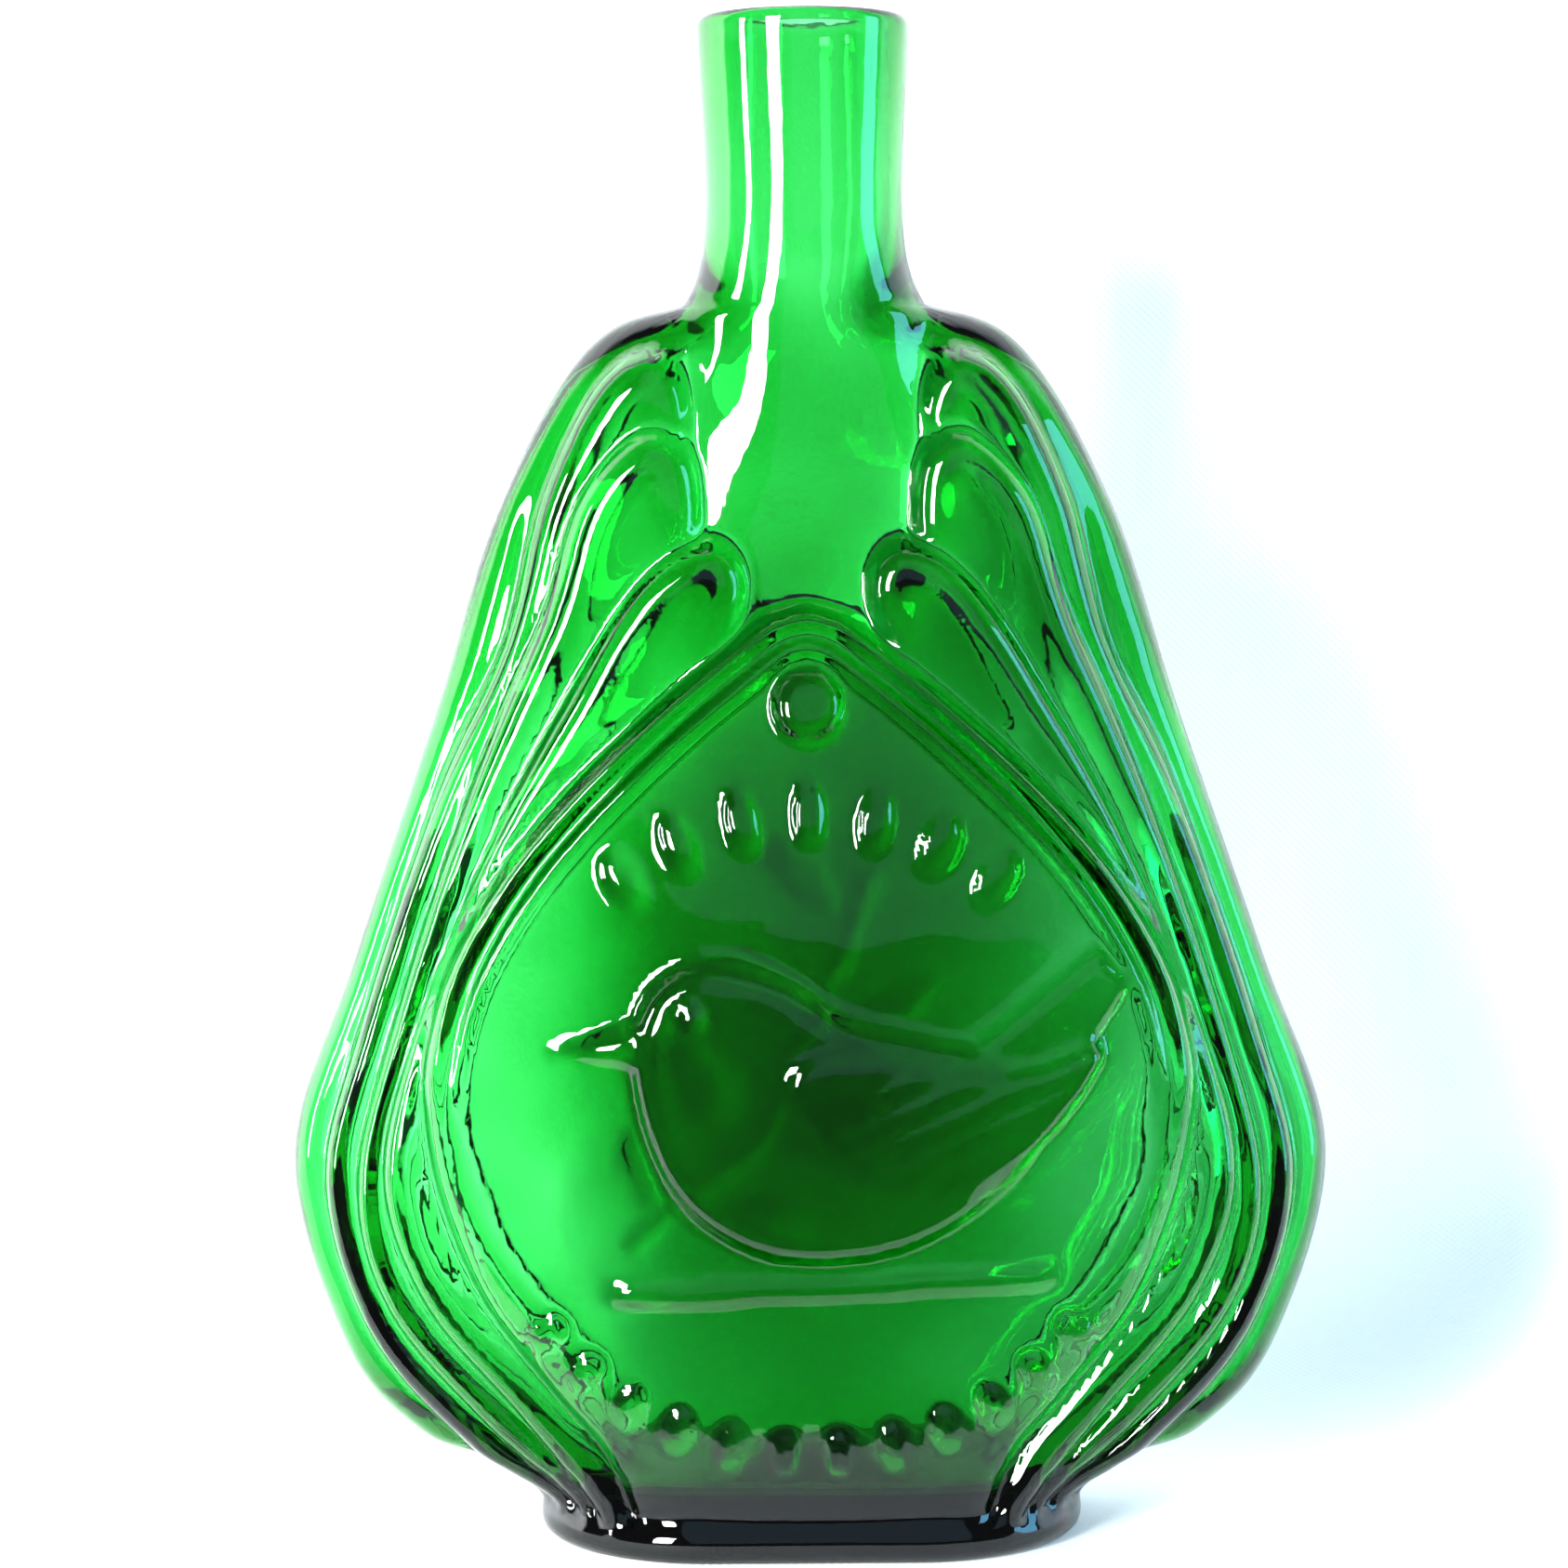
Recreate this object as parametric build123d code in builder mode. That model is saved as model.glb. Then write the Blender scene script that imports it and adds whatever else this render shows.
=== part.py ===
from build123d import *
import os

os.makedirs("parts", exist_ok=True)

# A moulded glass flask: a flattened pear-shaped body with layered ribs that sweep up each side and
# end in rounded petals, a domed medallion on each face, a plain open neck and an oval foot.
# Millimetres. +Z is up, +X is to the right and the decorated front faces -Y. The origin is the
# middle of the standing face. The glass is one continuous piece, divided here where its mould
# divides, into neck, front shell, rear shell and foot, which meet face to face.

# ---- Driving dimensions ----
height = 203.2            # standing face to lip
body_width = 139.7        # over the side ribs
body_depth = 54.0         # over the two medallions
neck_length = 35.0        # straight neck, lip included
neck_diameter = 28.4      # at the lip
neck_taper = 0.8          # how much narrower the neck is where it meets the body
neck_bore = 22.6
foot_width = 73.5
foot_depth = 46.0
foot_height = 5.0
foot_rounding = 1.8
wall = 3.2                # thinnest glass of the body
base_glass = 9.5          # standing face to the bottom of the hollow
medallion_width = 101.0
medallion_middle = 60.0   # height of the medallion's middle above the standing face
medallion_rounding = 2.5
dome_radius = 235.0       # the medallion's shallow spherical face
ridge_height = 1.6        # the two ridges along the medallion's arched top
ridge_insets = (0.6, 4.2)
ridge_breadth = 2.0
boss_diameter = 9.2
boss_place = 1.05         # above the medallion's middle, as a share of its half width
boss_height = 1.8
leaf_height = 1.3
bird_height = 1.8
wing_height = 0.9         # above the bird
sprig_height = 1.2        # the leafy sprig on the rear

# ---- Sizes that follow ----
half_width = body_width / 2
half_depth = body_depth / 2
body_top = height - neck_length
joint_radius = (neck_diameter - neck_taper) / 2
neck_radius = neck_diameter / 2
bore_radius = neck_bore / 2
lip_rounding = 0.45 * (neck_radius - bore_radius)
foot_inset = 3.0          # the core's foot stays this far inside the foot's edge
dome_center = (0, dome_radius - half_depth, medallion_middle)
proud = 5.0               # slabs that a dome trims start this far in front of it
below = -0.03             # rib outlines start this far under the standing face, and are cut at the foot

# Ribs, from the side inwards. Each is a slab with a rounded front edge: how far it stands forward as
# a share of the half depth, the edge's radius as a share of the half width, and its right-hand
# outline, from under the foot up the side and round the petal to the middle, in shares of the body's
# half width and height.
ribs = [
    (0.30, 0.072, [(0.46, below), (0.51, 0.02), (0.62, 0.055), (0.76, 0.08), (0.90, 0.15), (1.00, 0.305),
                 (0.88, 0.46), (0.71, 0.665), (0.59, 0.82), (0.42, 0.945), (0.24, 0.98), (0.0, 0.98)]),
    (0.46, 0.034, [(0.45, below), (0.49, 0.03), (0.65, 0.075), (0.84, 0.165), (0.927, 0.29), (0.855, 0.415),
                 (0.70, 0.60), (0.575, 0.715), (0.50, 0.83), (0.39, 0.92), (0.275, 0.945), (0.20, 0.90),
                 (0.18, 0.80), (0.08, 0.72), (0.0, 0.71)]),
    (0.58, 0.034, [(0.41, below), (0.45, 0.035), (0.62, 0.10), (0.80, 0.19), (0.86, 0.29), (0.79, 0.415),
                 (0.64, 0.60), (0.50, 0.735), (0.425, 0.83), (0.31, 0.88), (0.215, 0.865), (0.19, 0.81),
                 (0.20, 0.73), (0.12, 0.66), (0.0, 0.64)]),
    (0.69, 0.034, [(0.37, below), (0.41, 0.035), (0.55, 0.11), (0.73, 0.20), (0.805, 0.30), (0.745, 0.41),
                 (0.60, 0.56), (0.46, 0.67), (0.31, 0.765), (0.18, 0.795), (0.11, 0.765), (0.135, 0.70),
                 (0.10, 0.62), (0.0, 0.595)]),
]

# Right-hand outline of the medallion about its middle, from its foot up to the arch's peak, in
# shares of its half width.
medallion_outline = [(0.426, -1.352), (0.505, -0.970), (0.663, -0.752), (0.848, -0.505), (0.960, -0.228),
                     (1.0, 0.01), (0.990, 0.168), (0.931, 0.376), (0.804, 0.602), (0.640, 0.804),
                     (0.416, 1.022), (0.212, 1.192), (0.097, 1.275), (0.0, 1.303)]

# The hollow of the body as level ellipses: height, half width and half depth, in shares of the body.
hollow = [(0.13, 0.70, 0.66), (0.22, 0.87, 0.79), (0.32, 0.90, 0.845), (0.45, 0.80, 0.82),
          (0.60, 0.66, 0.65), (0.75, 0.45, 0.47), (0.88, 0.30, 0.40)]
hollow_floor = (0.40, 0.45)

# A small songbird in profile, perched on a twig and facing left, with its beak, tail and folded wing.
bird_body = [(-23, 69), (-20, 77), (-12, 80.5), (-3, 78), (5, 73), (15, 70.5), (27, 67), (30, 57),
             (22, 48), (10, 42), (-4, 41.5), (-15, 47), (-21, 57)]
bird_beak = [(-21, 73), (-34, 68.5), (-21, 66)]
bird_tail = [(20, 69), (37, 82), (42, 77), (29, 58)]
bird_wing = [(-3, 65), (5, 68.5), (17, 66.5), (28, 66), (38, 69), (31, 58), (18, 50), (4, 54)]
twig_ends = [(-27, 36.5), (33, 39)]
twig_breadth = 2.6

# A leafy sprig for the rear: its stem as an arc through three points, and each leaf's place and turn.
sprig_stem = [(-22, 34), (-4, 54), (8, 86)]
sprig_leaves = [(-20, 46, 100), (-8, 39, 10), (-12, 58, 115), (3, 52, 25), (-5, 71, 125), (10, 68, 40),
                (0, 85, 130)]
sprig_leaf = (7.0, 2.6)
stem_breadth = 1.8

# Arcs of small leaves about the medallion's middle: radius, how many, first angle, sweep, half sizes.
leaf_arcs = [(39.0, 7, 52, 76, (4.3, 2.0)), (45.0, 12, 220, 100, (3.4, 1.8))]


def body_points(shares):
    """Points in shares of the body's half width and height, in millimetres."""
    return [(x * half_width, z * body_top) for x, z in shares]


def medallion_points(inset=0.0):
    """The medallion's right-hand outline, drawn in all round by the inset."""
    reach = medallion_width / 2 - inset
    return [(x * reach, medallion_middle + z * reach) for x, z in medallion_outline]


# ---- Plain blown core, and the hollow inside it ----
with BuildPart() as cavity:
    with BuildSketch(Plane.XY.offset(base_glass)):
        Ellipse(hollow_floor[0] * half_width, hollow_floor[1] * half_depth)
    for level, wide, deep in hollow:
        with BuildSketch(Plane.XY.offset(level * body_top)):
            Ellipse(wide * half_width, deep * half_depth)
    with BuildSketch(Plane.XY.offset(body_top)):
        Circle(bore_radius)
    loft()

with BuildPart() as core:
    with BuildSketch(Plane.XY.offset(foot_height)):
        Ellipse(foot_width / 2 - foot_inset, foot_depth / 2 - foot_inset)
    for level, wide, deep in hollow:
        with BuildSketch(Plane.XY.offset(level * body_top)):
            Ellipse(wide * half_width + wall, deep * half_depth + wall)
    with BuildSketch(Plane.XY.offset(body_top)):
        Circle(joint_radius)
    loft()

# ---- Raised layers of one face, drawn from the parting plane forward ----
face_layers = []
for forward, rounding, shares in ribs:
    with BuildPart() as rib:
        with BuildSketch(Plane.XZ):
            with BuildLine():
                side = Spline(body_points(shares))
                Polyline(side @ 1, (0, below * body_top), side @ 0)
            make_face()
            mirror(about=Plane.YZ)
        extrude(amount=forward * half_depth)
        front_face = rib.faces().sort_by(Axis.Y)[0]
        fillet(front_face.edges().filter_by(GeomType.BSPLINE), rounding * half_width)
    face_layers.append(rib.part)

with BuildPart() as medallion:
    with BuildSketch(Plane.XZ):
        with BuildLine():
            side = Spline(medallion_points())
            Polyline(side @ 1, (0, (side @ 0).Y), side @ 0)
        make_face()
        mirror(about=Plane.YZ)
    extrude(amount=half_depth + proud)
    with Locations(dome_center):
        Sphere(dome_radius, mode=Mode.INTERSECT)
    dome_face = medallion.faces().sort_by(Axis.Y)[0]
    fillet(dome_face.edges().filter_by(GeomType.LINE, reverse=True), medallion_rounding)
face_layers.append(medallion.part)

for inset in ridge_insets:
    with BuildPart() as ridge:
        with BuildSketch(Plane.XZ):
            with BuildLine():
                outer = Spline(medallion_points(inset))
                inner = Spline(medallion_points(inset + ridge_breadth))
                Line(outer @ 0, inner @ 0)
                Line(inner @ 1, outer @ 1)
            make_face()
            mirror(about=Plane.YZ)
        extrude(amount=half_depth + proud)
        with Locations(dome_center):
            Sphere(dome_radius + ridge_height, mode=Mode.INTERSECT)
        split(bisect_by=Plane.XY.offset(medallion_middle + 0.4 * medallion_width / 2), keep=Keep.TOP)
    face_layers.append(ridge.part)

# ---- Raised picture of the front: boss, leaves, bird and its wing ----
with BuildPart() as boss:
    with BuildSketch(Plane.XZ):
        with Locations((0, medallion_middle + boss_place * medallion_width / 2)):
            Circle(boss_diameter / 2)
    extrude(amount=half_depth + proud)
    with Locations(dome_center):
        Sphere(dome_radius + boss_height, mode=Mode.INTERSECT)
    fillet(boss.faces().sort_by(Axis.Y)[0].edges(), 0.8 * boss_height)

with BuildPart() as leaves:
    with BuildSketch(Plane.XZ):
        with Locations((0, medallion_middle)):
            for radius, count, start, swept, half_sizes in leaf_arcs:
                with PolarLocations(radius, count, start_angle=start, angular_range=swept, endpoint=True):
                    Ellipse(*half_sizes)
    extrude(amount=half_depth + proud)
    with Locations(dome_center):
        Sphere(dome_radius + leaf_height, mode=Mode.INTERSECT)

with BuildPart() as bird:
    with BuildSketch(Plane.XZ):
        with BuildLine():
            Spline(bird_body, periodic=True)
        make_face()
        with BuildLine():
            Polyline(bird_beak, close=True)
        make_face()
        with BuildLine():
            Polyline(bird_tail, close=True)
        make_face()
        with BuildLine() as twig:
            Line(*twig_ends)
        trace(twig.line, line_width=twig_breadth)
    extrude(amount=half_depth + proud)
    with Locations(dome_center):
        Sphere(dome_radius + bird_height, mode=Mode.INTERSECT)

with BuildPart() as wing:
    with BuildSketch(Plane.XZ):
        with BuildLine():
            Spline(bird_wing, periodic=True)
        make_face()
    extrude(amount=half_depth + proud)
    with Locations(dome_center):
        Sphere(dome_radius + bird_height + wing_height, mode=Mode.INTERSECT)

picture = [boss.part, leaves.part, bird.part, wing.part]

# ---- Raised sprig, drawn in front and turned to the rear with the rear's other layers ----
with BuildPart() as sprig:
    with BuildSketch(Plane.XZ):
        with BuildLine() as stem:
            ThreePointArc(*sprig_stem)
        trace(stem.line, line_width=stem_breadth)
        for x, z, turn in sprig_leaves:
            with Locations((x, z)):
                Ellipse(*sprig_leaf, rotation=turn)
    extrude(amount=half_depth + proud)
    with Locations(dome_center):
        Sphere(dome_radius + sprig_height, mode=Mode.INTERSECT)

# ---- The four regions of the glass ----
with BuildPart() as front_shell:
    add(core.part)
    for layer in face_layers + picture:
        add(layer)
    add(cavity.part, mode=Mode.SUBTRACT)
    split(bisect_by=Plane.XZ, keep=Keep.TOP)
    split(bisect_by=Plane.XY.offset(foot_height), keep=Keep.TOP)
front_shell.part.label = "front_shell"

# The rear has the same ribs, medallion and ridges, and a plain leafy sprig for its picture.
with BuildPart() as rear_shell:
    add(core.part)
    for layer in face_layers + [sprig.part]:
        add(mirror(layer, about=Plane.XZ, mode=Mode.PRIVATE))
    add(cavity.part, mode=Mode.SUBTRACT)
    split(bisect_by=Plane.XZ, keep=Keep.BOTTOM)
    split(bisect_by=Plane.XY.offset(foot_height), keep=Keep.TOP)
rear_shell.part.label = "rear_shell"

with BuildPart() as neck:
    with BuildSketch(Plane.XZ) as neck_section:
        with BuildLine():
            Polyline((bore_radius, body_top), (joint_radius, body_top), (neck_radius, height),
                     (bore_radius, height), close=True)
        make_face()
        fillet(neck_section.vertices().group_by(Axis.Y)[-1], lip_rounding)
    revolve(axis=Axis.Z)
neck.part.label = "neck"

with BuildPart() as foot:
    with BuildSketch(Plane.XY):
        SlotOverall(foot_width, foot_depth)
    extrude(amount=foot_height)
    fillet(foot.faces().sort_by(Axis.Z)[0].edges(), foot_rounding)
foot.part.label = "foot"

for piece in (neck, front_shell, rear_shell, foot):
    export_step(piece.part, f"parts/{piece.part.label}.step")
    print(piece.part.label, len(piece.part.solids()), round(piece.part.volume), piece.part.is_valid)
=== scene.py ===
import math

import bpy
import numpy as np
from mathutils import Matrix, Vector


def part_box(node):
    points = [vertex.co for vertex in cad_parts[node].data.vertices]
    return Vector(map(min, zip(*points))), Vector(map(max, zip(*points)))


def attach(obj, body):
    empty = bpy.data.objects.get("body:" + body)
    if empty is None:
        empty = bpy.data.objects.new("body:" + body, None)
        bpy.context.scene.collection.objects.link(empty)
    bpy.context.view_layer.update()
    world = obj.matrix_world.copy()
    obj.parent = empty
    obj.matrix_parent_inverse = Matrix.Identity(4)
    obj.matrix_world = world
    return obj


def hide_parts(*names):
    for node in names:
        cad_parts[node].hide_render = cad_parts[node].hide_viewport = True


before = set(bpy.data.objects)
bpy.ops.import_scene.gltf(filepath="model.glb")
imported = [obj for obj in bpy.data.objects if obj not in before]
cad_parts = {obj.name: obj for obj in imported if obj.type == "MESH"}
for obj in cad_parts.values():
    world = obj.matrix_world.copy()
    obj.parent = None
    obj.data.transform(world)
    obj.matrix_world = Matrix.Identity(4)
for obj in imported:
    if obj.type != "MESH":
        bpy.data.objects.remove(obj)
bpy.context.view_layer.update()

# A moulded emerald glass flask. Mesh sizes are in millimetres in the frame's own axes (+X right,
# +Z up, the decorated face towards -Y) and become metres as each mesh is made.
METRE = 0.001


def frame_box(node):
    """A CAD node's lowest and highest corner in millimetres."""
    low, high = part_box(node)
    return np.array(low) / METRE, np.array(high) / METRE


neck_low, neck_high = frame_box("neck")
shell_high = frame_box("rear_shell")[1]
foot_high = frame_box("foot")[1]

# ---- Sizes read from the frame ----
HEIGHT = neck_high[2]
BODY_TOP = neck_low[2]
HALF_WIDTH = shell_high[0]
HALF_DEPTH = shell_high[1]
NECK_RADIUS = neck_high[0]
FOOT_HALF_WIDTH = foot_high[0]
FOOT_HALF_DEPTH = foot_high[1]
FOOT_HEIGHT = foot_high[2]

# ---- Sizes of the glass ----
NECK_TAPER = 0.35          # how much smaller the neck's radius is where it meets the body
BORE_RADIUS = 11.3
WALL = 3.2                 # from the core's inner ellipses out to the core
SKIN = 2.1                 # glass between a face and the hollow, before the extra and the smoothing
BASE_GLASS = 7.0           # standing face to the bottom of the hollow
KICK_UP = 6.0              # how far the middle of the hollow's floor is raised
PUSH_UP = 1.0              # how far the middle of the underside is hollowed
MEDALLION_HALF = 50.5
MEDALLION_MIDDLE = 60.0
DOME_RADIUS = 235.0
FLARE = 2.6                # how much wider the body is just under the neck's root
OUTER_SLOPE = 6            # how steeply a rib or the medallion falls away outside its outline
CREASE_DEPTH, CREASE_WIDTH = 1.6, 1.5      # of the crease along the foot of each rib's next layer
RIBS_SOFTEN = 100          # the height about which the ribs turn from crisp to soft
DOME_EDGE = 4.0            # how deep the rounding of the medallion's edge is
RIDGE_HEIGHT = 2.4         # of the outer of the two ridges along the medallion's arch
OUTER_RIDGE, INNER_RIDGE, VALLEY = 1.6, 5.2, 3.5     # how far inside the medallion's edge each runs
WAVE_HEIGHT = 0.07         # of each of the slow waves in the surfaces
WAVES = 14
SHORT_WAVE, LONG_WAVE = 9, 34
BELOW = -0.03              # rib outlines start this share of the body's height under the foot

# Ribs from the side inwards: how far forward, in shares of the half depth; how deep and how wide
# the rounding of the edge is, in millimetres; and the right-hand outline in shares of the half width
# and of the body's height.
RIBS = [
    (0.30, 8.1, 6.0, [(0.46, BELOW), (0.51, 0.02), (0.62, 0.055), (0.76, 0.08), (0.90, 0.15),
                      (1.00, 0.305), (0.88, 0.46), (0.71, 0.665), (0.59, 0.82), (0.42, 0.945),
                      (0.24, 0.98), (0.0, 0.98)]),
    (0.46, 5.5, 3.0, [(0.45, BELOW), (0.49, 0.03), (0.65, 0.075), (0.84, 0.165), (0.927, 0.29),
                      (0.855, 0.415), (0.70, 0.60), (0.575, 0.715), (0.50, 0.83), (0.39, 0.92),
                      (0.275, 0.945), (0.20, 0.90), (0.18, 0.80), (0.08, 0.72), (0.0, 0.71)]),
    (0.58, 4.5, 2.6, [(0.41, BELOW), (0.45, 0.035), (0.62, 0.10), (0.80, 0.19), (0.86, 0.29),
                      (0.79, 0.415), (0.64, 0.60), (0.50, 0.735), (0.425, 0.83), (0.31, 0.88),
                      (0.215, 0.865), (0.19, 0.81), (0.20, 0.73), (0.12, 0.66), (0.0, 0.64)]),
    (0.69, 4.2, 2.6, [(0.37, BELOW), (0.41, 0.035), (0.55, 0.11), (0.73, 0.20), (0.805, 0.30),
                      (0.745, 0.41), (0.60, 0.56), (0.46, 0.67), (0.31, 0.765), (0.18, 0.795),
                      (0.11, 0.765), (0.135, 0.70), (0.10, 0.62), (0.0, 0.595)]),
]

# Right-hand outline of the medallion about its middle, in shares of its half width.
MEDALLION = [(0.426, -1.352), (0.505, -0.970), (0.663, -0.752), (0.848, -0.505), (0.960, -0.228),
             (1.0, 0.01), (0.990, 0.168), (0.931, 0.376), (0.804, 0.602), (0.640, 0.804),
             (0.416, 1.022), (0.212, 1.192), (0.097, 1.275), (0.0, 1.303)]

# The core's inner ellipses: height, half width and half depth in shares of the body. The core is the
# plain blown body behind the ribs, one wall outside these.
CORE_INSIDE = [(0.13, 0.70, 0.66), (0.22, 0.87, 0.79), (0.32, 0.90, 0.845), (0.45, 0.80, 0.82),
               (0.60, 0.66, 0.65), (0.75, 0.45, 0.47), (0.88, 0.30, 0.40)]

# A small songbird in profile, perched on a twig and facing left.
BIRD_BODY = [(-23, 69), (-20, 77), (-12, 80.5), (-3, 78), (5, 73), (15, 70.5), (27, 67), (30, 57),
             (22, 48), (10, 42), (-4, 41.5), (-15, 47), (-21, 57)]
BIRD_BEAK = [(-21, 73), (-34, 68.5), (-21, 66)]
BIRD_TAIL = [(20, 69), (37, 82), (42, 77), (29, 58)]
BIRD_WING = [(-3, 65), (5, 68.5), (17, 66.5), (28, 66), (38, 69), (31, 58), (18, 50), (4, 54)]
BIRD_EYE = (-15, 73)
TWIG = [(-27, 36.5), (33, 39)]
BOSS_PLACE = 1.05          # above the medallion's middle, as a share of its half width
BOSS_RADIUS = 4.6

# How far each piece of relief stands above what it lies on.
BOSS_HEIGHT, LEAF_HEIGHT, VEIN_DEPTH = 2.4, 1.3, 0.5
BIRD_HEIGHT, BEAK_HEIGHT, TAIL_HEIGHT = 3.0, 2.2, 2.0
WING_HEIGHT, FEATHER_HEIGHT, TWIG_HEIGHT = 1.0, 0.4, 1.4
EYE_HEIGHT, EYE_GROOVE = 0.7, 0.4
STEM_HEIGHT, SPRIG_LEAF_HEIGHT = 1.2, 1.5

# The rear's leafy sprig: its stem's three points, and each leaf's place and turn.
SPRIG_STEM = [(-22, 34), (-4, 54), (8, 86)]
SPRIG_LEAVES = [(-20, 46, 100), (-8, 39, 10), (-12, 58, 115), (3, 52, 25), (-5, 71, 125),
                (10, 68, 40), (0, 85, 130)]
SPRIG_LEAF = (7.0, 2.6)    # half length and half width

# Arcs of leaves about the medallion's middle: radius, how many, first angle, sweep, half length,
# half width.
LEAF_ARCS = [(39.0, 7, 52, 76, 4.3, 2.0), (45.0, 12, 220, 100, 3.4, 1.8)]

# ---- How finely the glass is meshed ----
FRONT_COLUMNS = 172
REAR_COLUMNS = 132
BODY_ROWS = 200
INSIDE_ROWS = 80
OUTSIDE_SAMPLES = 901      # places across a section before it is spread evenly
INSIDE_SAMPLES = 401
CLOSE_PASSES, LOOSE_PASSES = 30, 220       # of smoothing across the hollow, below and above

# ---- The room, in metres and watts ----
# Lights: name, place, what it faces, width and height, power, colour.
LIGHTS = [
    ("window_light", (-0.56, -0.90, 0.34), (0, 0, 0.10), (0.26, 0.50), 28, (1, 1, 1)),
    ("fill_light", (0.3, -1.3, 0.9), (0, 0, 0.10), (1.6, 1.6), 4, (0.45, 0.75, 1.0)),
    ("cool_light", (0.9, -0.15, 0.25), (0, 0, 0.10), (0.30, 0.7), 6, (0.2, 0.62, 1.0)),
    ("side_light", (-0.95, -0.38, 0.22), (0, 0, 0.08), (0.12, 0.6), 12, (1, 1, 1)),
]
ROOM_COLOUR = (0.85, 0.92, 1.0, 1)
ROOM_STRENGTH = 0.12
CLOTH_FRONT = -0.05        # the cloth's front edge, on Y
CLOTH_BACK = 0.085         # where it stands up as a wall, on Y
CLOTH_BEND = 0.04          # radius of the bend between the two
CLOTH_HALF_WIDTH, CLOTH_TOP = 1.6, 2.0
SENSOR_WIDTH = 36          # of the camera, in millimetres
LENS = 94.726734           # in millimetres
CAMERA_PLACE = (-0.0028, -0.5535, 0.144)
CAMERA_DOWN, CAMERA_ROLL = 4.44, 0.37      # degrees: how far below level it looks, and its tilt


def smooth_curve(points, steps=10, closed=False):
    """Points along a Catmull-Rom curve through the given points: each span is the cubic whose end
    slopes are half the difference of the neighbouring points."""
    p = np.array(points, float)
    if closed:
        p = np.vstack([p[-1], p, p[0], p[1]])
    else:
        p = np.vstack([2 * p[0] - p[1], p, 2 * p[-1] - p[-2]])
    t = np.linspace(0, 1, steps, endpoint=False)[None, :, None]
    a, b, c, d = (p[i:len(p) - 3 + i][:, None, :] for i in range(4))
    curve = 0.5 * (2 * b + (c - a) * t + (2 * a - 5 * b + 4 * c - d) * t ** 2
                   + (3 * b - a - 3 * c + d) * t ** 3).reshape(-1, p.shape[1])
    return curve if closed else np.vstack([curve, p[-2]])


def inside_distance(loop, x, z):
    """Distance from each point to a closed loop of points, positive inside it and negative outside:
    the least distance to any of its segments, with the sign of an even-odd crossing count."""
    best = np.full(x.shape, 1e9)
    inside = np.zeros(x.shape, bool)
    for (ax, az), (bx, bz) in zip(loop, np.roll(loop, -1, axis=0)):
        ex, ez = bx - ax, bz - az
        along = np.clip(((x - ax) * ex + (z - az) * ez) / (ex * ex + ez * ez + 1e-12), 0, 1)
        best = np.minimum(best, (x - ax - along * ex) ** 2 + (z - az - along * ez) ** 2)
        if az != bz:
            inside ^= ((az > z) != (bz > z)) & (x < ax + (z - az) * ex / ez)
    return np.where(inside, 1, -1) * np.sqrt(best)


def rounded(distance, width):
    """0 at an edge rising to 1 at this width inside it, as a quarter circle: the root of one less the
    square of the share of the width that is left."""
    t = np.clip(distance / width, 0, 1)
    return np.sqrt(1 - (1 - t) ** 2)


def soft_max(a, b, reach):
    """The greater of two surfaces, with the crease between them filled: where they differ by less
    than the reach, a blend of the two, raised by half the reach times both of their shares."""
    h = np.clip(0.5 + 0.5 * (a - b) / reach, 0, 1)
    return b + (a - b) * h + reach * h * (1 - h) * 0.5


def half_loop(shares, across, up, middle=0.0):
    """A right-hand outline in shares, as a closed loop in millimetres that runs back down to the left
    of the middle."""
    curve = smooth_curve(shares) * (across, up) + (0, middle)
    return np.vstack([curve, (-8.0, curve[-1, 1]), (-8.0, curve[0, 1])])


# The core's height, half width and half depth, from the foot up to the lip.
CORE_CURVE = smooth_curve([(FOOT_HEIGHT - 4, FOOT_HALF_WIDTH - 6, FOOT_HALF_DEPTH - 5),
                           (FOOT_HEIGHT, FOOT_HALF_WIDTH - 3, FOOT_HALF_DEPTH - 3)]
                          + [(z * BODY_TOP, wide * HALF_WIDTH + WALL, deep * HALF_DEPTH + WALL)
                             for z, wide, deep in CORE_INSIDE]
                          + [(BODY_TOP, NECK_RADIUS - NECK_TAPER, NECK_RADIUS - NECK_TAPER),
                             (HEIGHT, NECK_RADIUS, NECK_RADIUS)])
RIB_LOOPS = [half_loop(shares, HALF_WIDTH, BODY_TOP) for _, _, _, shares in RIBS]
MEDALLION_LOOP = half_loop(MEDALLION, MEDALLION_HALF, MEDALLION_HALF, MEDALLION_MIDDLE)
SIDE_CURVE = smooth_curve(RIBS[0][3]) * (HALF_WIDTH, BODY_TOP)


def core_size(z):
    """Half width and half depth of the core at a height: read from its curve, with the half width
    flared just under the neck's root, by an amount that falls off exponentially above and below."""
    flare = FLARE * np.exp(-np.abs(z - BODY_TOP + 5) / 4.5)
    wide = np.interp(z, CORE_CURVE[:, 0], CORE_CURVE[:, 1]) + flare
    return wide, np.interp(z, CORE_CURVE[:, 0], CORE_CURVE[:, 2])


def foot_inset(z):
    """How far the foot is drawn in at a height: a quarter round below, another on its upper edge, and
    above its height a steep slope that ends it."""
    low, high, slope = 2.0, 1.9, 20     # the two radii and the slope
    under = low - np.sqrt(np.clip(low ** 2 - np.clip(low - z, 0, low) ** 2, 0, None))
    start = FOOT_HEIGHT - high
    over = high - np.sqrt(np.clip(high ** 2 - np.clip(z - start, 0, high) ** 2, 0, None))
    return under + over + slope * np.clip(z - FOOT_HEIGHT, 0, None)


def half_width_at(z):
    """Half width of the glass at a height: the greatest of the core, the side rib and the foot."""
    side = np.interp(z, SIDE_CURVE[:, 1], SIDE_CURVE[:, 0], right=0)
    return np.maximum(np.maximum(core_size(z)[0], side), FOOT_HALF_WIDTH - foot_inset(z))


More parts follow.
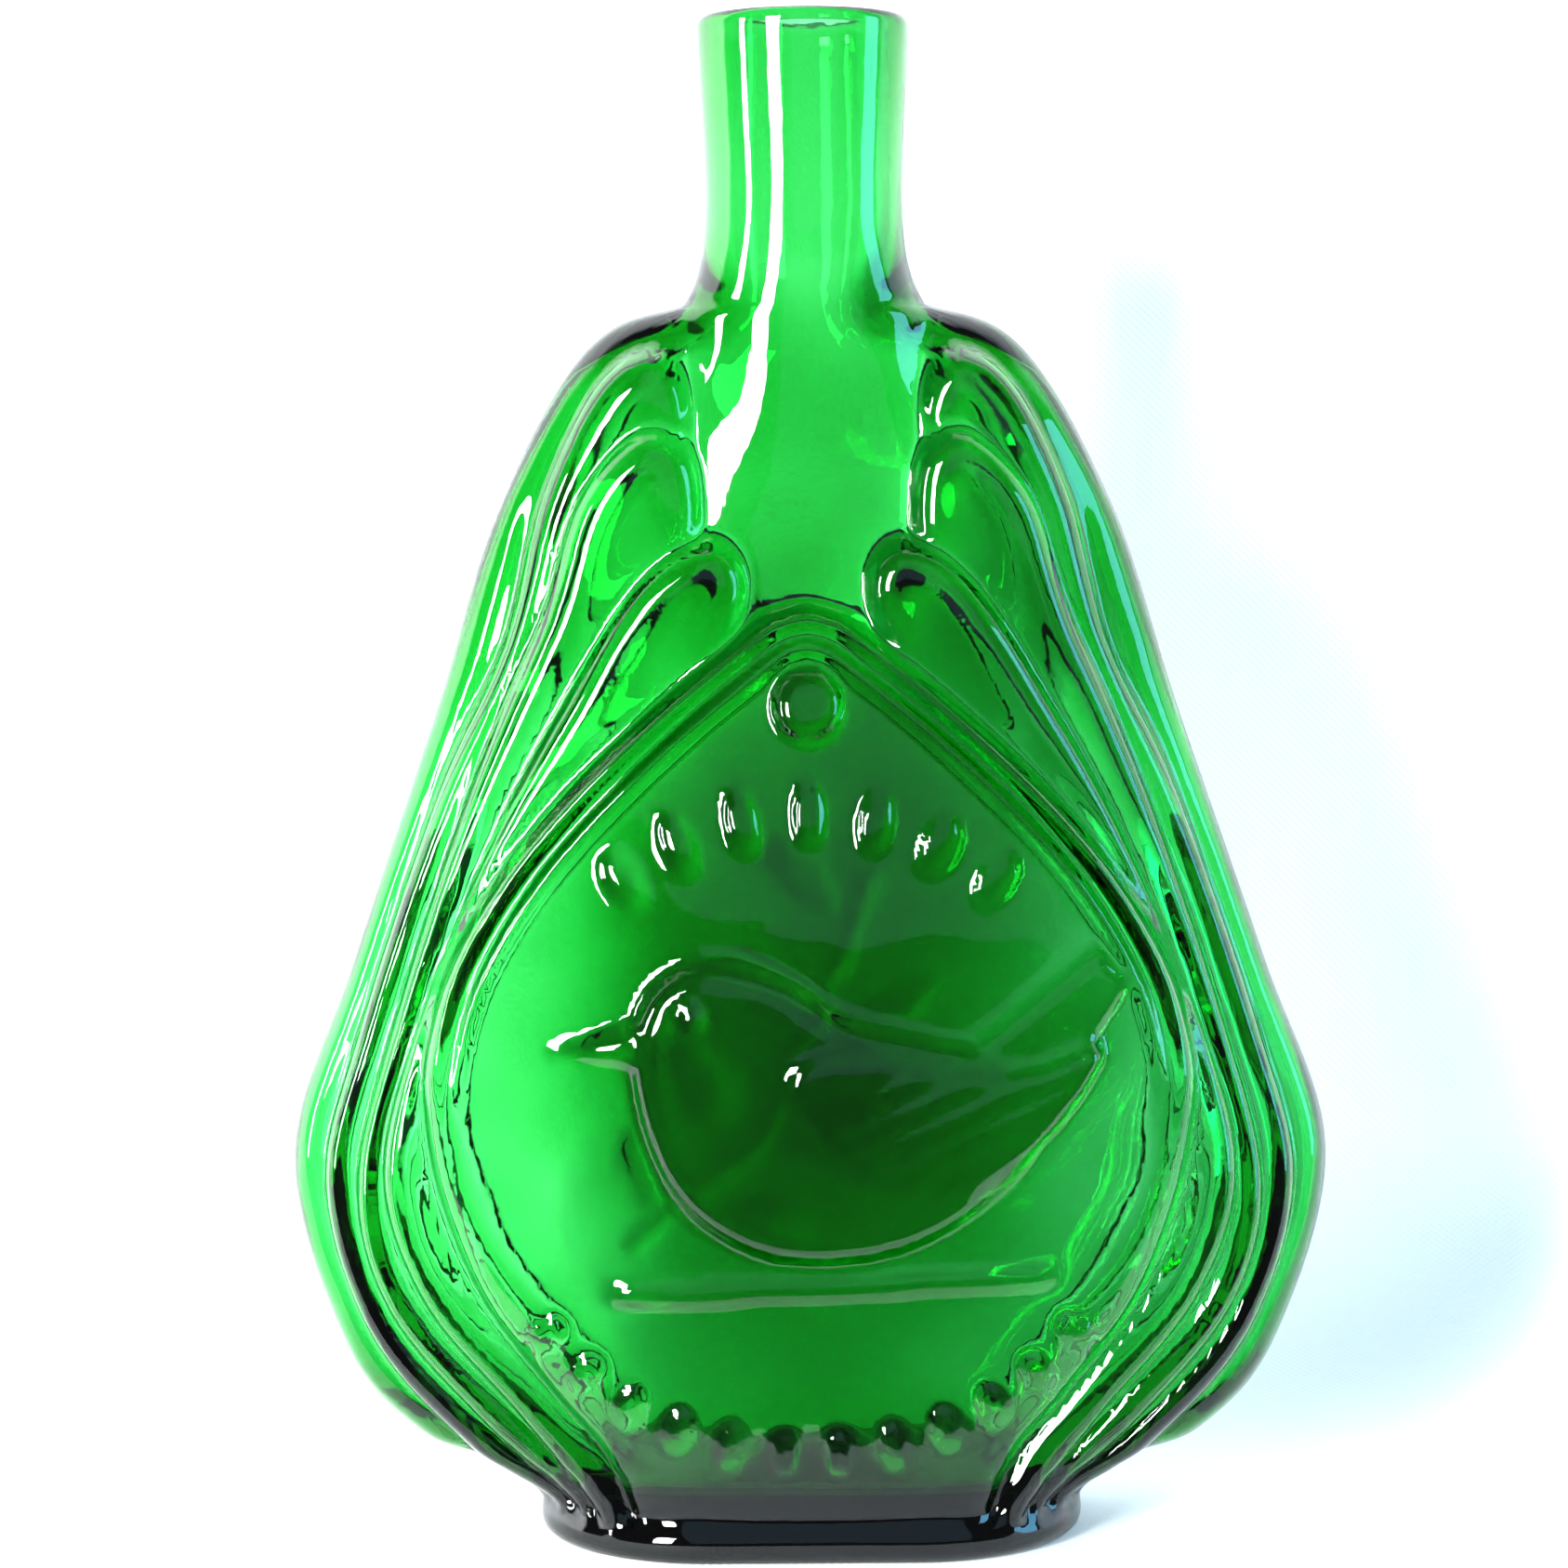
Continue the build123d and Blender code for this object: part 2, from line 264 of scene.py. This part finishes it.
def picture_height(x, z):
    """Relief of the front's picture above the dome, the greatest of its pieces: a round boss; arcs of
    oval leaves, rounded by how far a point is inside each oval, with a narrow Gaussian groove for the
    vein; and the bird, its body, beak and tail rounded by the distance inside their outlines. With it
    are a raised wing with cosine feathers, a straight twig, and an eye in a ring-shaped groove."""
    boss_z = MEDALLION_MIDDLE + BOSS_PLACE * MEDALLION_HALF
    relief = BOSS_HEIGHT * rounded(BOSS_RADIUS - np.hypot(x, z - boss_z), 2.4)
    for radius, count, start, sweep, length, breadth in LEAF_ARCS:
        for angle in np.radians(start + sweep * np.arange(count) / (count - 1)):
            out = np.array((math.cos(angle), math.sin(angle)))
            dx, dz = x - radius * out[0], z - MEDALLION_MIDDLE - radius * out[1]
            along, over = dx * out[0] + dz * out[1], -dx * out[1] + dz * out[0]
            reach = 1 - np.hypot(along / length, over / breadth)
            vein = VEIN_DEPTH * np.exp(-(over / 0.5) ** 2)
            relief = np.maximum(relief, LEAF_HEIGHT * rounded(reach, 0.6) - vein * (reach > 0))
    body = inside_distance(smooth_curve(BIRD_BODY, closed=True), x, z)
    beak = inside_distance(np.array(BIRD_BEAK, float), x, z)
    tail = inside_distance(np.array(BIRD_TAIL, float), x, z)
    wing = inside_distance(smooth_curve(BIRD_WING, closed=True), x, z)
    bird = np.maximum(BEAK_HEIGHT * rounded(beak, 2.5), TAIL_HEIGHT * rounded(tail, 2.0))
    bird = np.maximum(BIRD_HEIGHT * rounded(body, 3.5), bird)
    (twig_x, twig_z), (end_x, end_z) = TWIG
    twig = z - twig_z - (x - twig_x) * (end_z - twig_z) / (end_x - twig_x)
    length = np.clip(np.minimum(x - twig_x, end_x - x) / 3, 0, 1)
    bird = np.maximum(bird, TWIG_HEIGHT * rounded(1.5 - np.abs(twig), 1.2) * length)
    feathers = FEATHER_HEIGHT * np.cos(1.7 * (z - 0.45 * x))
    feathers = feathers * np.clip(wing / 2, 0, 1) * np.clip((x - 4) / 8, 0, 1)
    wing_top = BIRD_HEIGHT + WING_HEIGHT * rounded(wing, 1.5) + feathers
    bird = np.maximum(bird, wing_top * (wing > 0))
    eye = np.hypot(x - BIRD_EYE[0], z - BIRD_EYE[1])
    groove = EYE_GROOVE * np.exp(-((eye - 2.2) / 0.5) ** 2)
    bird = bird + EYE_HEIGHT * rounded(1.8 - eye, 1.2) - groove
    return np.maximum(relief, bird)


def sprig_height(x, z):
    """Relief of the rear's sprig above the dome: a thin stem, rounded by the distance from its curve,
    and oval leaves, rounded by how far a point is inside each oval, with a Gaussian groove for the
    vein."""
    stem = smooth_curve(SPRIG_STEM, steps=8)
    nearest = np.full(x.shape, 1e9)
    for (ax, az), (bx, bz) in zip(stem, stem[1:]):
        ex, ez = bx - ax, bz - az
        along = np.clip(((x - ax) * ex + (z - az) * ez) / (ex * ex + ez * ez), 0, 1)
        nearest = np.minimum(nearest, np.hypot(x - ax - along * ex, z - az - along * ez))
    relief = STEM_HEIGHT * rounded(1.0 - nearest, 0.9)
    for place_x, place_z, turn in SPRIG_LEAVES:
        out_x, out_z = math.cos(math.radians(turn)), math.sin(math.radians(turn))
        along = (x - place_x) * out_x + (z - place_z) * out_z
        over = (z - place_z) * out_x - (x - place_x) * out_z
        reach = 1 - np.hypot(along / SPRIG_LEAF[0], over / SPRIG_LEAF[1])
        vein = VEIN_DEPTH * np.exp(-(over / 0.45) ** 2)
        relief = np.maximum(relief, SPRIG_LEAF_HEIGHT * rounded(reach, 0.5) - vein * (reach > 0))
    return relief


def waviness(x, z, seed):
    """Slow unevenness of the glass: a sum of sine waves of random direction, length and phase, each
    as high as it is long against the longest."""
    chance = np.random.default_rng(seed)
    total = np.zeros(x.shape)
    for _ in range(WAVES):
        heading = chance.uniform(0, math.pi)
        length = chance.uniform(SHORT_WAVE, LONG_WAVE)
        along = 2 * math.pi / length * (x * math.cos(heading) + z * math.sin(heading))
        total += (length / LONG_WAVE) * np.sin(along + chance.uniform(0, 6.3))
    return WAVE_HEIGHT * total


def face_depth(x, z, picture=None):
    """Depth of one face from the parting plane: the soft greatest of the core's ellipse, the layered
    ribs, the medallion and the oval foot. Each rib is a flat layer with a quarter-round edge, a
    slope outside its outline, and an exponential crease along the next outline; a logistic blend in
    height softens the upper ribs. The medallion is a sphere's cap with two Gaussian ridges and a
    valley between them along its arch, a picture's relief, and a rounded edge. The foot is its
    half depth with rounded ends."""
    across = np.abs(x)
    wide, deep = core_size(z)
    depth = deep * np.sqrt(np.clip(1 - (across / wide) ** 2, 0, 1))
    distances = [inside_distance(loop, across, z) for loop in RIB_LOOPS + [MEDALLION_LOOP]]
    upper = 1 / (1 + np.exp((RIBS_SOFTEN - z) / 5))
    for (forward, round_depth, round_width, _), own, following in zip(RIBS, distances, distances[1:]):
        edge = round_depth * (1 - rounded(own, round_width * (1 + 0.6 * upper)))
        layer = forward * HALF_DEPTH - edge + (OUTER_SLOPE - 4.5 * upper) * np.minimum(own, 0)
        crease = CREASE_DEPTH * np.exp(np.minimum(following, 0) / CREASE_WIDTH) * (1 - 0.8 * upper)
        depth = soft_max(layer - crease, depth, 0.5 + 2.2 * upper)
    own = distances[-1]
    dome = np.sqrt(np.clip(DOME_RADIUS ** 2 - x ** 2 - (z - MEDALLION_MIDDLE) ** 2, 0, None))
    dome = dome - DOME_RADIUS + HALF_DEPTH
    arch = np.clip((z - MEDALLION_MIDDLE + 5) / 35, 0, 1)
    arch = arch * arch * (3 - 2 * arch)
    ridges = (np.exp(-((own - OUTER_RIDGE) / 1.1) ** 2)
              + 0.8 * np.exp(-((own - INNER_RIDGE) / 0.9) ** 2))
    dome = dome + RIDGE_HEIGHT * ridges * arch - 0.8 * np.exp(-((own - VALLEY) / 0.7) ** 2) * arch
    if picture:
        dome = dome + picture(x, z)
    edge = DOME_EDGE * (1 - rounded(own, 7.0 - 4.0 * arch))
    dome = dome - edge + OUTER_SLOPE * np.minimum(own, 0)
    depth = soft_max(dome, depth, 0.5)
    end = FOOT_HALF_DEPTH - foot_inset(z)
    past = np.clip(across - (FOOT_HALF_WIDTH - FOOT_HALF_DEPTH), 0, None)
    foot = np.sqrt(np.clip(np.clip(end, 0, None) ** 2 - past ** 2, 0, None))
    return np.maximum(depth, foot)


def extra_glass(x, z):
    """Glass beyond the skin, where it gathered as it cooled: a mound in the middle of each face,
    flatter on top than a Gaussian and longer below its middle than above, an exponential thickening
    towards the floor, and a logistic one from the arch up to the shoulder."""
    height, wide, middle = 4.2, 28, 84
    tall = np.where(z > middle, 36, 60)
    mound = height * np.exp(-((x / wide) ** 2 + ((z - middle) / tall) ** 2) ** 1.3)
    return mound + 2.5 * np.exp(-(z - BASE_GLASS) / 8) + 1.3 / (1 + np.exp((112 - z) / 6))


def hollow_depth(x, z):
    """Depth of the hollow from the parting plane: the outer face, without its picture, drawn in by
    the glass's thickness. It is the least of the face less the wall and, in eight directions, of the
    face a share of the wall aside less the rest of the wall, much as a ball of the wall's radius
    would roll along the inside."""
    wall = SKIN + extra_glass(x, z)
    aside, left = 0.9, 0.44    # sideways and inward shares of the wall, on a quarter circle
    depth = face_depth(x, z) - wall
    for turn in np.radians(np.arange(0, 360, 45)):
        beside = face_depth(x + aside * wall * math.cos(turn), z + aside * wall * math.sin(turn))
        depth = np.minimum(depth, beside - left * wall)
    return depth


def spread(x, depth, columns):
    """Points along each row's section, evenly spaced by its length: each is interpolated at its share
    of the running length. Returns x and depth, one row a height."""
    step = np.hypot(np.diff(x, axis=1), np.diff(depth, axis=1))
    along = np.concatenate([np.zeros((len(x), 1)), np.cumsum(step, axis=1)], axis=1)
    row = np.arange(len(x))[:, None] * 2.0
    known = (along / along[:, -1:] + row).ravel()
    wanted = (np.linspace(0, 1, columns + 1)[None, :] + row).ravel()
    shape = (len(x), columns + 1)
    return [np.interp(wanted, known, values.ravel()).reshape(shape) for values in (x, depth)]


def blurred(values, passes, axis):
    """Values averaged with their neighbours along an axis, with the ends held, so many times over."""
    values = np.moveaxis(values.copy(), axis, 0)
    for _ in range(passes):
        values[1:-1] = 0.25 * values[:-2] + 0.5 * values[1:-1] + 0.25 * values[2:]
    return np.moveaxis(values, 0, axis)


def closed_rings(z, front_x, front_depth, rear_x, rear_depth):
    """Closed rings from the two faces' sections: the front from +X to -X, then the rear back to +X."""
    x = np.concatenate([front_x[:, :-1], rear_x[:, ::-1][:, :-1]], axis=1)
    y = np.concatenate([-front_depth[:, :-1], rear_depth[:, ::-1][:, :-1]], axis=1)
    return np.stack([x, y, np.broadcast_to(z[:, None], x.shape)], axis=2)


def across_section(half, count):
    """Places across each row's section from +X to -X, closer together near the sides."""
    return np.sin(np.linspace(math.pi / 2, -math.pi / 2, count))[None, :] * half[:, None]


def outer_rings(z):
    """Closed rings of the outside, one a height: each face's depth with its picture and a slow
    waviness that starts above the foot, averaged once up and down, brought to nothing at the sides."""
    half = half_width_at(z)
    x = across_section(half, OUTSIDE_SAMPLES)
    level = np.broadcast_to(z[:, None], x.shape)
    faces = []
    for picture, columns, seed in ((picture_height, FRONT_COLUMNS, 3),
                                   (sprig_height, REAR_COLUMNS, 4)):
        depth = face_depth(x, level, picture)
        depth = depth + waviness(x, level, seed) * np.clip((level - 6) / 10, 0, 1)
        depth = blurred(depth, 1, 0) * np.clip((half[:, None] - np.abs(x)) / 0.02, 0, 1)
        faces += spread(x, depth, columns)
    return closed_rings(z, *faces)


def inner_rings(z):
    """Closed rings of the hollow, one a height. Its half width is the least of the outside's a little
    above and below, less the skin. Its depth is the drawn-in face, held under a tall ellipse so that
    it closes at the sides, averaged across many times over and far more above the middle, kept from
    vanishing, and made slightly wavy."""
    half = half_width_at(z)
    for shift in (-1, -0.5, 0.5, 1):
        half = np.minimum(half, half_width_at(z + shift * SKIN) + 0.5 * SKIN * abs(shift))
    half = blurred(half - SKIN, 2, 0)
    x = across_section(half, INSIDE_SAMPLES)
    level = np.broadcast_to(z[:, None], x.shape)
    depth = hollow_depth(x, level)
    edge = np.sqrt(np.clip(1 - (x / half[:, None]) ** 2, 0, 1))
    tall_ellipse = 60 * edge
    close = blurred(np.minimum(depth, tall_ellipse), CLOSE_PASSES, 1)
    loose = blurred(close, LOOSE_PASSES, 1)
    upper = 1 / (1 + np.exp((98 - level) / 4))
    depth = np.clip(blurred(close + (loose - close) * upper, 3, 0), 0.8 * edge, None)
    faces = []
    for columns, seed in ((FRONT_COLUMNS, 5), (REAR_COLUMNS, 6)):
        uneven = waviness(x, level, seed) * edge
        faces += spread(x, depth + uneven, columns)
    return closed_rings(z, *faces)


def ellipse_rings(z, wide, deep):
    """Closed rings of ellipses that start at +X and pass the front first, like the outside's rings."""
    front = np.linspace(0, -math.pi, FRONT_COLUMNS, endpoint=False)
    rear = np.linspace(-math.pi, -2 * math.pi, REAR_COLUMNS, endpoint=False)
    turn = np.concatenate([front, rear])[None, :]
    x, y = wide[:, None] * np.cos(turn), deep[:, None] * np.sin(turn)
    return np.stack([x, y, np.broadcast_to(z[:, None], x.shape)], axis=2)


def body_heights():
    """Heights of the outside's rows from the foot's rim to the neck, evenly spaced by height and
    about a third of the change in half width together, so closer where the side runs flat."""
    fine = np.linspace(0.25, BODY_TOP + 3, 4000)
    step = np.hypot(np.diff(fine), 0.35 * np.diff(half_width_at(fine)))
    along = np.concatenate([[0], np.cumsum(step)])
    return np.interp(np.linspace(0, along[-1], BODY_ROWS), along, fine)


def make_glass():
    """The whole flask as one closed skin of rings: underside, outside, neck, a half-round lip, bore,
    inside and the hollow's floor, with a fan at each end. The underside is the lowest ring scaled
    inwards and raised by the square of its share. Below the neck the inside eases from the bore's
    circle to the hollow by a cubic step. The floor is the inside's last ring scaled inwards, with a
    Gaussian rise along its middle, faded out towards its rim."""
    body_z = body_heights()
    body = outer_rings(body_z)
    underside = [body[:1] * (share, share, 1) + (0, 0, PUSH_UP * (1 - share ** 2) - 0.25)
                 for share in (0.12, 0.35, 0.6, 0.8, 0.93, 0.98)]
    neck_z = np.linspace(BODY_TOP + 4.5, HEIGHT - 2.0, 15)
    neck_wide, neck_deep = core_size(neck_z)
    lip_turn = np.radians(np.linspace(0, 180, 9))
    lip_half = (NECK_RADIUS - BORE_RADIUS) / 2
    lip_radius = NECK_RADIUS - lip_half + lip_half * np.cos(lip_turn)
    lip_z = HEIGHT - 1.6 + 1.6 * np.sin(lip_turn)
    bore_z = np.linspace(HEIGHT - 3.0, BODY_TOP + 1.0, 8)
    bore_radius = np.full(len(bore_z), BORE_RADIUS)
    bore = ellipse_rings(bore_z, bore_radius, bore_radius)
    inside_z = np.linspace(BODY_TOP - 1.0, BASE_GLASS + 2.0, INSIDE_ROWS)
    ease = np.clip((BODY_TOP - inside_z) / 14, 0, 1)
    ease = (ease * ease * (3 - 2 * ease))[:, None, None]
    plain_radius = np.full(INSIDE_ROWS, BORE_RADIUS)
    plain = ellipse_rings(inside_z, plain_radius, plain_radius)
    inside = plain + (inner_rings(inside_z) - plain) * ease
    floor = [inside[-1:] * (share, share, 1)
             for share in (0.97, 0.92, 0.82, 0.7, 0.55, 0.4, 0.25, 0.1)]
    for ring in floor:
        rise = KICK_UP * np.exp(-(ring[:, :, 0] / 15) ** 2)
        fade = (1 - (ring[:, :, 0] / 30) ** 2 - (ring[:, :, 1] / 13) ** 2).clip(0, 1)
        ring[:, :, 2] += (rise - 2.0) * fade
    neck = ellipse_rings(neck_z, neck_wide, neck_deep)
    lip = ellipse_rings(lip_z, lip_radius, lip_radius)
    rings = np.concatenate(underside + [body, neck, lip, bore, inside] + floor)
    count, around = rings.shape[:2]
    ends = [(0, 0, rings[0, 0, 2]), (0, 0, rings[-1, 0, 2])]
    points = np.concatenate([rings.reshape(-1, 3), ends])
    here = np.arange(count - 1)[:, None] * around + np.arange(around)[None, :]
    beside = np.arange(count - 1)[:, None] * around + (np.arange(around)[None, :] + 1) % around
    quads = np.stack([here, here + around, beside + around, beside], axis=2).reshape(-1, 4)
    first, last = count * around, count * around + 1
    ring = np.arange(around)
    following = (ring + 1) % around
    foot_fan = np.stack([np.full(around, first), ring, following], axis=1)
    rim = (count - 1) * around
    floor_fan = np.stack([np.full(around, last), rim + following, rim + ring], axis=1)
    faces = quads.tolist() + foot_fan.tolist() + floor_fan.tolist()
    mesh = bpy.data.meshes.new("flask")
    mesh.from_pydata((points * METRE).tolist(), [], faces)
    mesh.polygons.foreach_set("use_smooth", np.ones(len(mesh.polygons), bool))
    mesh.update()
    flask = bpy.data.objects.new("flask", mesh)
    bpy.context.collection.objects.link(flask)
    return flask


class Socket:
    """A node's output, so that shader sums are written as sums."""

    def __init__(self, tree, out):
        self.tree = tree
        self.out = out

    def math(self, operation, other=None):
        """A math node's output on this value and, where there is one, another."""
        node = self.tree.nodes.new("ShaderNodeMath")
        node.operation = operation
        for socket, value in zip(node.inputs, (self, other)):
            if isinstance(value, Socket):
                self.tree.links.new(value.out, socket)
            elif value is not None:
                socket.default_value = value
        return Socket(self.tree, node.outputs[0])

    def __add__(self, other):
        return self.math("ADD", other)

    def __mul__(self, other):
        return self.math("MULTIPLY", other)


def add_node(tree, kind, settings=None, **values):
    """A shader node of a kind, with its settings and then its sockets' values or links."""
    node = tree.nodes.new("ShaderNode" + kind)
    for name, value in (settings or {}).items():
        setattr(node, name, value)
    for name, value in values.items():
        socket = node.inputs[name.replace("_", " ")]
        if isinstance(value, Socket):
            tree.links.new(value.out, socket)
        else:
            socket.default_value = value
    return node


def noise(tree, place, scale, detail):
    """Smooth noise at a place."""
    node = add_node(tree, "TexNoise", Vector=place, Scale=scale, Detail=detail)
    return Socket(tree, node.outputs["Fac"])


def new_material(name):
    """A material without nodes: itself, its node tree and its Object coordinates."""
    material = bpy.data.materials.new(name)
    material.use_nodes = True
    tree = material.node_tree
    tree.nodes.clear()
    return material, tree, Socket(tree, add_node(tree, "TexCoord").outputs["Object"])


def green_glass():
    """Emerald glass: clear, slightly uneven, its colour from how much glass the light passes. The
    bumps and the roughness come from two sizes of smooth noise."""
    material, tree, place = new_material("green_glass")
    dimples = noise(tree, place, 230.0, 2.0)
    swirls = noise(tree, place, 70.0, 1.0)
    bump = add_node(tree, "Bump", Strength=0.25, Distance=0.0006, Height=dimples * 0.3 + swirls)
    glass = add_node(tree, "BsdfPrincipled", Roughness=swirls * 0.05, IOR=1.5,
                     Normal=Socket(tree, bump.outputs[0]), Base_Color=(0.97, 1.0, 0.97, 1),
                     Transmission_Weight=1.0)
    tint = add_node(tree, "VolumeAbsorption", Density=900.0, Color=(0.16, 0.79, 0.38, 1))
    output = add_node(tree, "OutputMaterial")
    tree.links.new(glass.outputs[0], output.inputs["Surface"])
    tree.links.new(tint.outputs[0], output.inputs["Volume"])
    return material


def white_cloth():
    """Matt white cloth with a faint mottling of smooth noise, a slight glow of its own, and a weave:
    the product of two sine waves, across and along, each shifted by the mottling."""
    material, tree, place = new_material("white_cloth")
    parts = add_node(tree, "SeparateXYZ", Vector=place)
    across, along, up = (Socket(tree, parts.outputs[axis]) for axis in "XYZ")
    mottle = noise(tree, place, 60.0, 4.0)
    pitch, shift = 5200.0, 4.0
    weft = (across * pitch + mottle * shift).math("SINE")
    warp = ((along + up) * pitch + mottle * shift).math("SINE")
    bump = add_node(tree, "Bump", Strength=0.35, Distance=0.0003, Height=weft * warp * 0.3 + mottle)
    shade = add_node(tree, "Mix", {"data_type": "RGBA"})
    factor, dark, light = shade.inputs[0], shade.inputs[6], shade.inputs[7]
    dark.default_value = (0.90, 0.92, 0.95, 1)
    light.default_value = (0.96, 0.97, 0.98, 1)
    tree.links.new(mottle.out, factor)
    cloth = add_node(tree, "BsdfPrincipled", Roughness=mottle * 0.2 + 0.6,
                     Normal=Socket(tree, bump.outputs[0]), Base_Color=Socket(tree, shade.outputs[2]),
                     Emission_Strength=0.20, Emission_Color=(1, 1, 1, 1))
    output = add_node(tree, "OutputMaterial")
    tree.links.new(cloth.outputs[0], output.inputs["Surface"])
    return material


def make_stage():
    """A white cloth that runs from just in front of the flask up into a wall close behind it."""
    profile = [(CLOTH_FRONT, 0.0)]
    for turn in np.linspace(0, math.pi / 2, 13):
        profile.append((CLOTH_BACK - CLOTH_BEND + CLOTH_BEND * math.sin(turn),
                        CLOTH_BEND - CLOTH_BEND * math.cos(turn)))
    profile.append((CLOTH_BACK, CLOTH_TOP))
    points = [(x, y, z) for x in (-CLOTH_HALF_WIDTH, CLOTH_HALF_WIDTH) for y, z in profile]
    count = len(profile)
    faces = [(i, i + count, i + count + 1, i + 1) for i in range(count - 1)]
    mesh = bpy.data.meshes.new("backdrop")
    mesh.from_pydata(points, [], faces)
    mesh.polygons.foreach_set("use_smooth", np.ones(len(faces), bool))
    backdrop = bpy.data.objects.new("backdrop", mesh)
    bpy.context.collection.objects.link(backdrop)
    mesh.materials.append(white_cloth())


def area_light(name, place, target, size, power, colour):
    """A rectangular soft light at a place, turned towards a target."""
    data = bpy.data.lights.new(name, "AREA")
    data.shape = "RECTANGLE"
    data.size, data.size_y = size
    data.energy = power
    data.color = colour
    light = bpy.data.objects.new(name, data)
    light.location = place
    light.rotation_euler = (Vector(target) - Vector(place)).to_track_quat("-Z", "Y").to_euler()
    bpy.context.collection.objects.link(light)


def make_lights():
    """A bright window to the front left, a soft blue fill from above, a blue window to the right, a
    strip to the left, and dim light all round."""
    for light in LIGHTS:
        area_light(*light)
    world = bpy.data.worlds.new("room")
    world.use_nodes = True
    background = world.node_tree.nodes["Background"]
    background.inputs["Color"].default_value = ROOM_COLOUR
    background.inputs["Strength"].default_value = ROOM_STRENGTH
    bpy.context.scene.world = world


def make_camera():
    """The camera at the height of the flask's shoulder, looking a little down along +Y."""
    data = bpy.data.cameras.new("camera")
    data.sensor_width = SENSOR_WIDTH
    data.lens = LENS
    camera = bpy.data.objects.new("camera", data)
    camera.location = CAMERA_PLACE
    camera.rotation_euler = (math.radians(90 - CAMERA_DOWN), math.radians(CAMERA_ROLL), 0)
    bpy.context.collection.objects.link(camera)
    bpy.context.scene.camera = camera


flask = make_glass()
flask.data.materials.append(green_glass())
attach(flask, "root")
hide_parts("neck", "front_shell", "rear_shell", "foot")
make_stage()
make_lights()
make_camera()
bpy.context.scene.view_settings.view_transform = "Standard"
